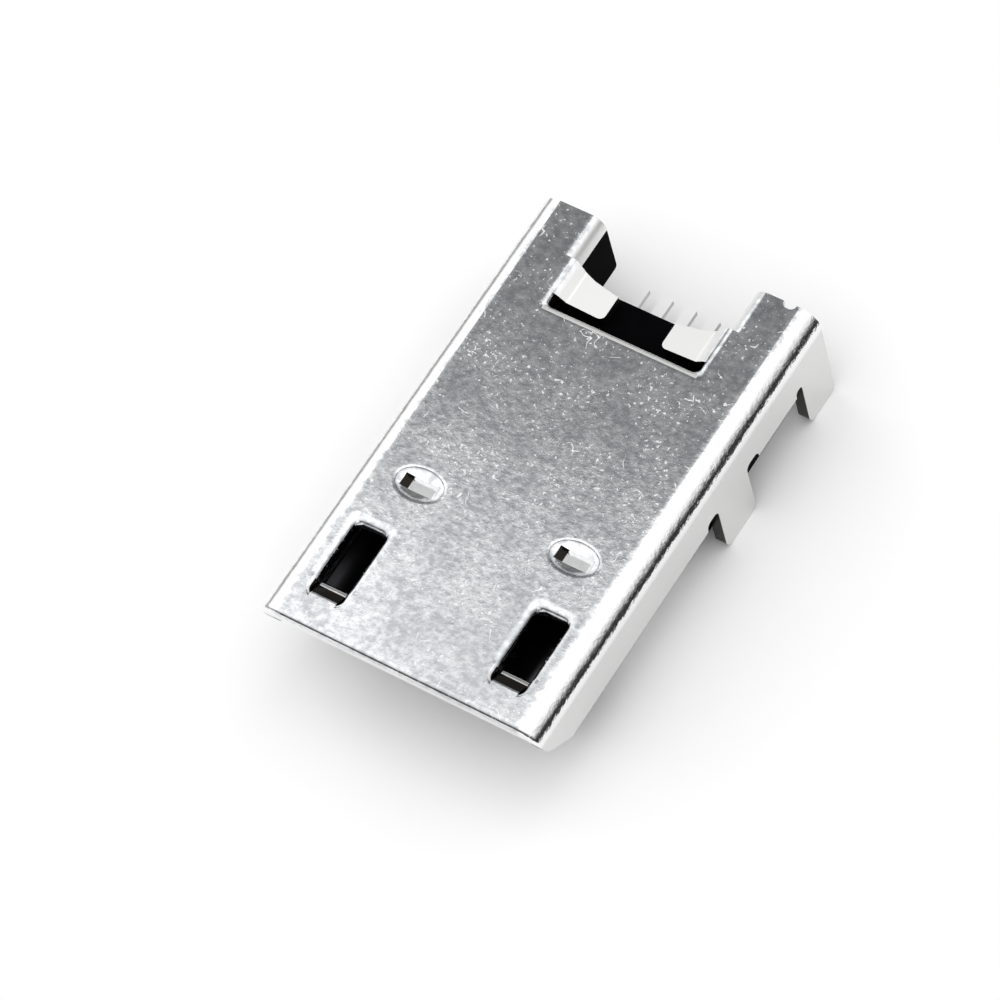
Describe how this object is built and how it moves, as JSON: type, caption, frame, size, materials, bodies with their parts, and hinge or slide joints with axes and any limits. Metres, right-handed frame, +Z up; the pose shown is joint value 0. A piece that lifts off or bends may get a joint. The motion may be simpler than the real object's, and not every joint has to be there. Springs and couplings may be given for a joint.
{
  "type": "micro usb socket",
  "caption": "Surface-mounted micro USB socket for a circuit board: folded steel shell with legs, black insulator with a tongue, and bent spring-metal contacts.",
  "frame": {"origin": "centre of the bounding box at the lowest points of the legs", "axes": "+X to the right seen from the mouth, +Y from the mouth to the tails, +Z up from the circuit board to the shell's flat top"},
  "size_m": [0.0074, 0.0122, 0.0032],
  "materials": {
    "shell": "tin-plated sheet steel, mottled and lightly scratched",
    "insulator": "black moulded nylon",
    "contact": "gold-flashed copper alloy"
  },
  "bodies": {
    "root": {"shell": "shell", "insulator": "insulator", "contact_1": "contact", "contact_2": "contact", "contact_3": "contact", "contact_4": "contact", "contact_5": "contact"}
  },
  "joints": []
}
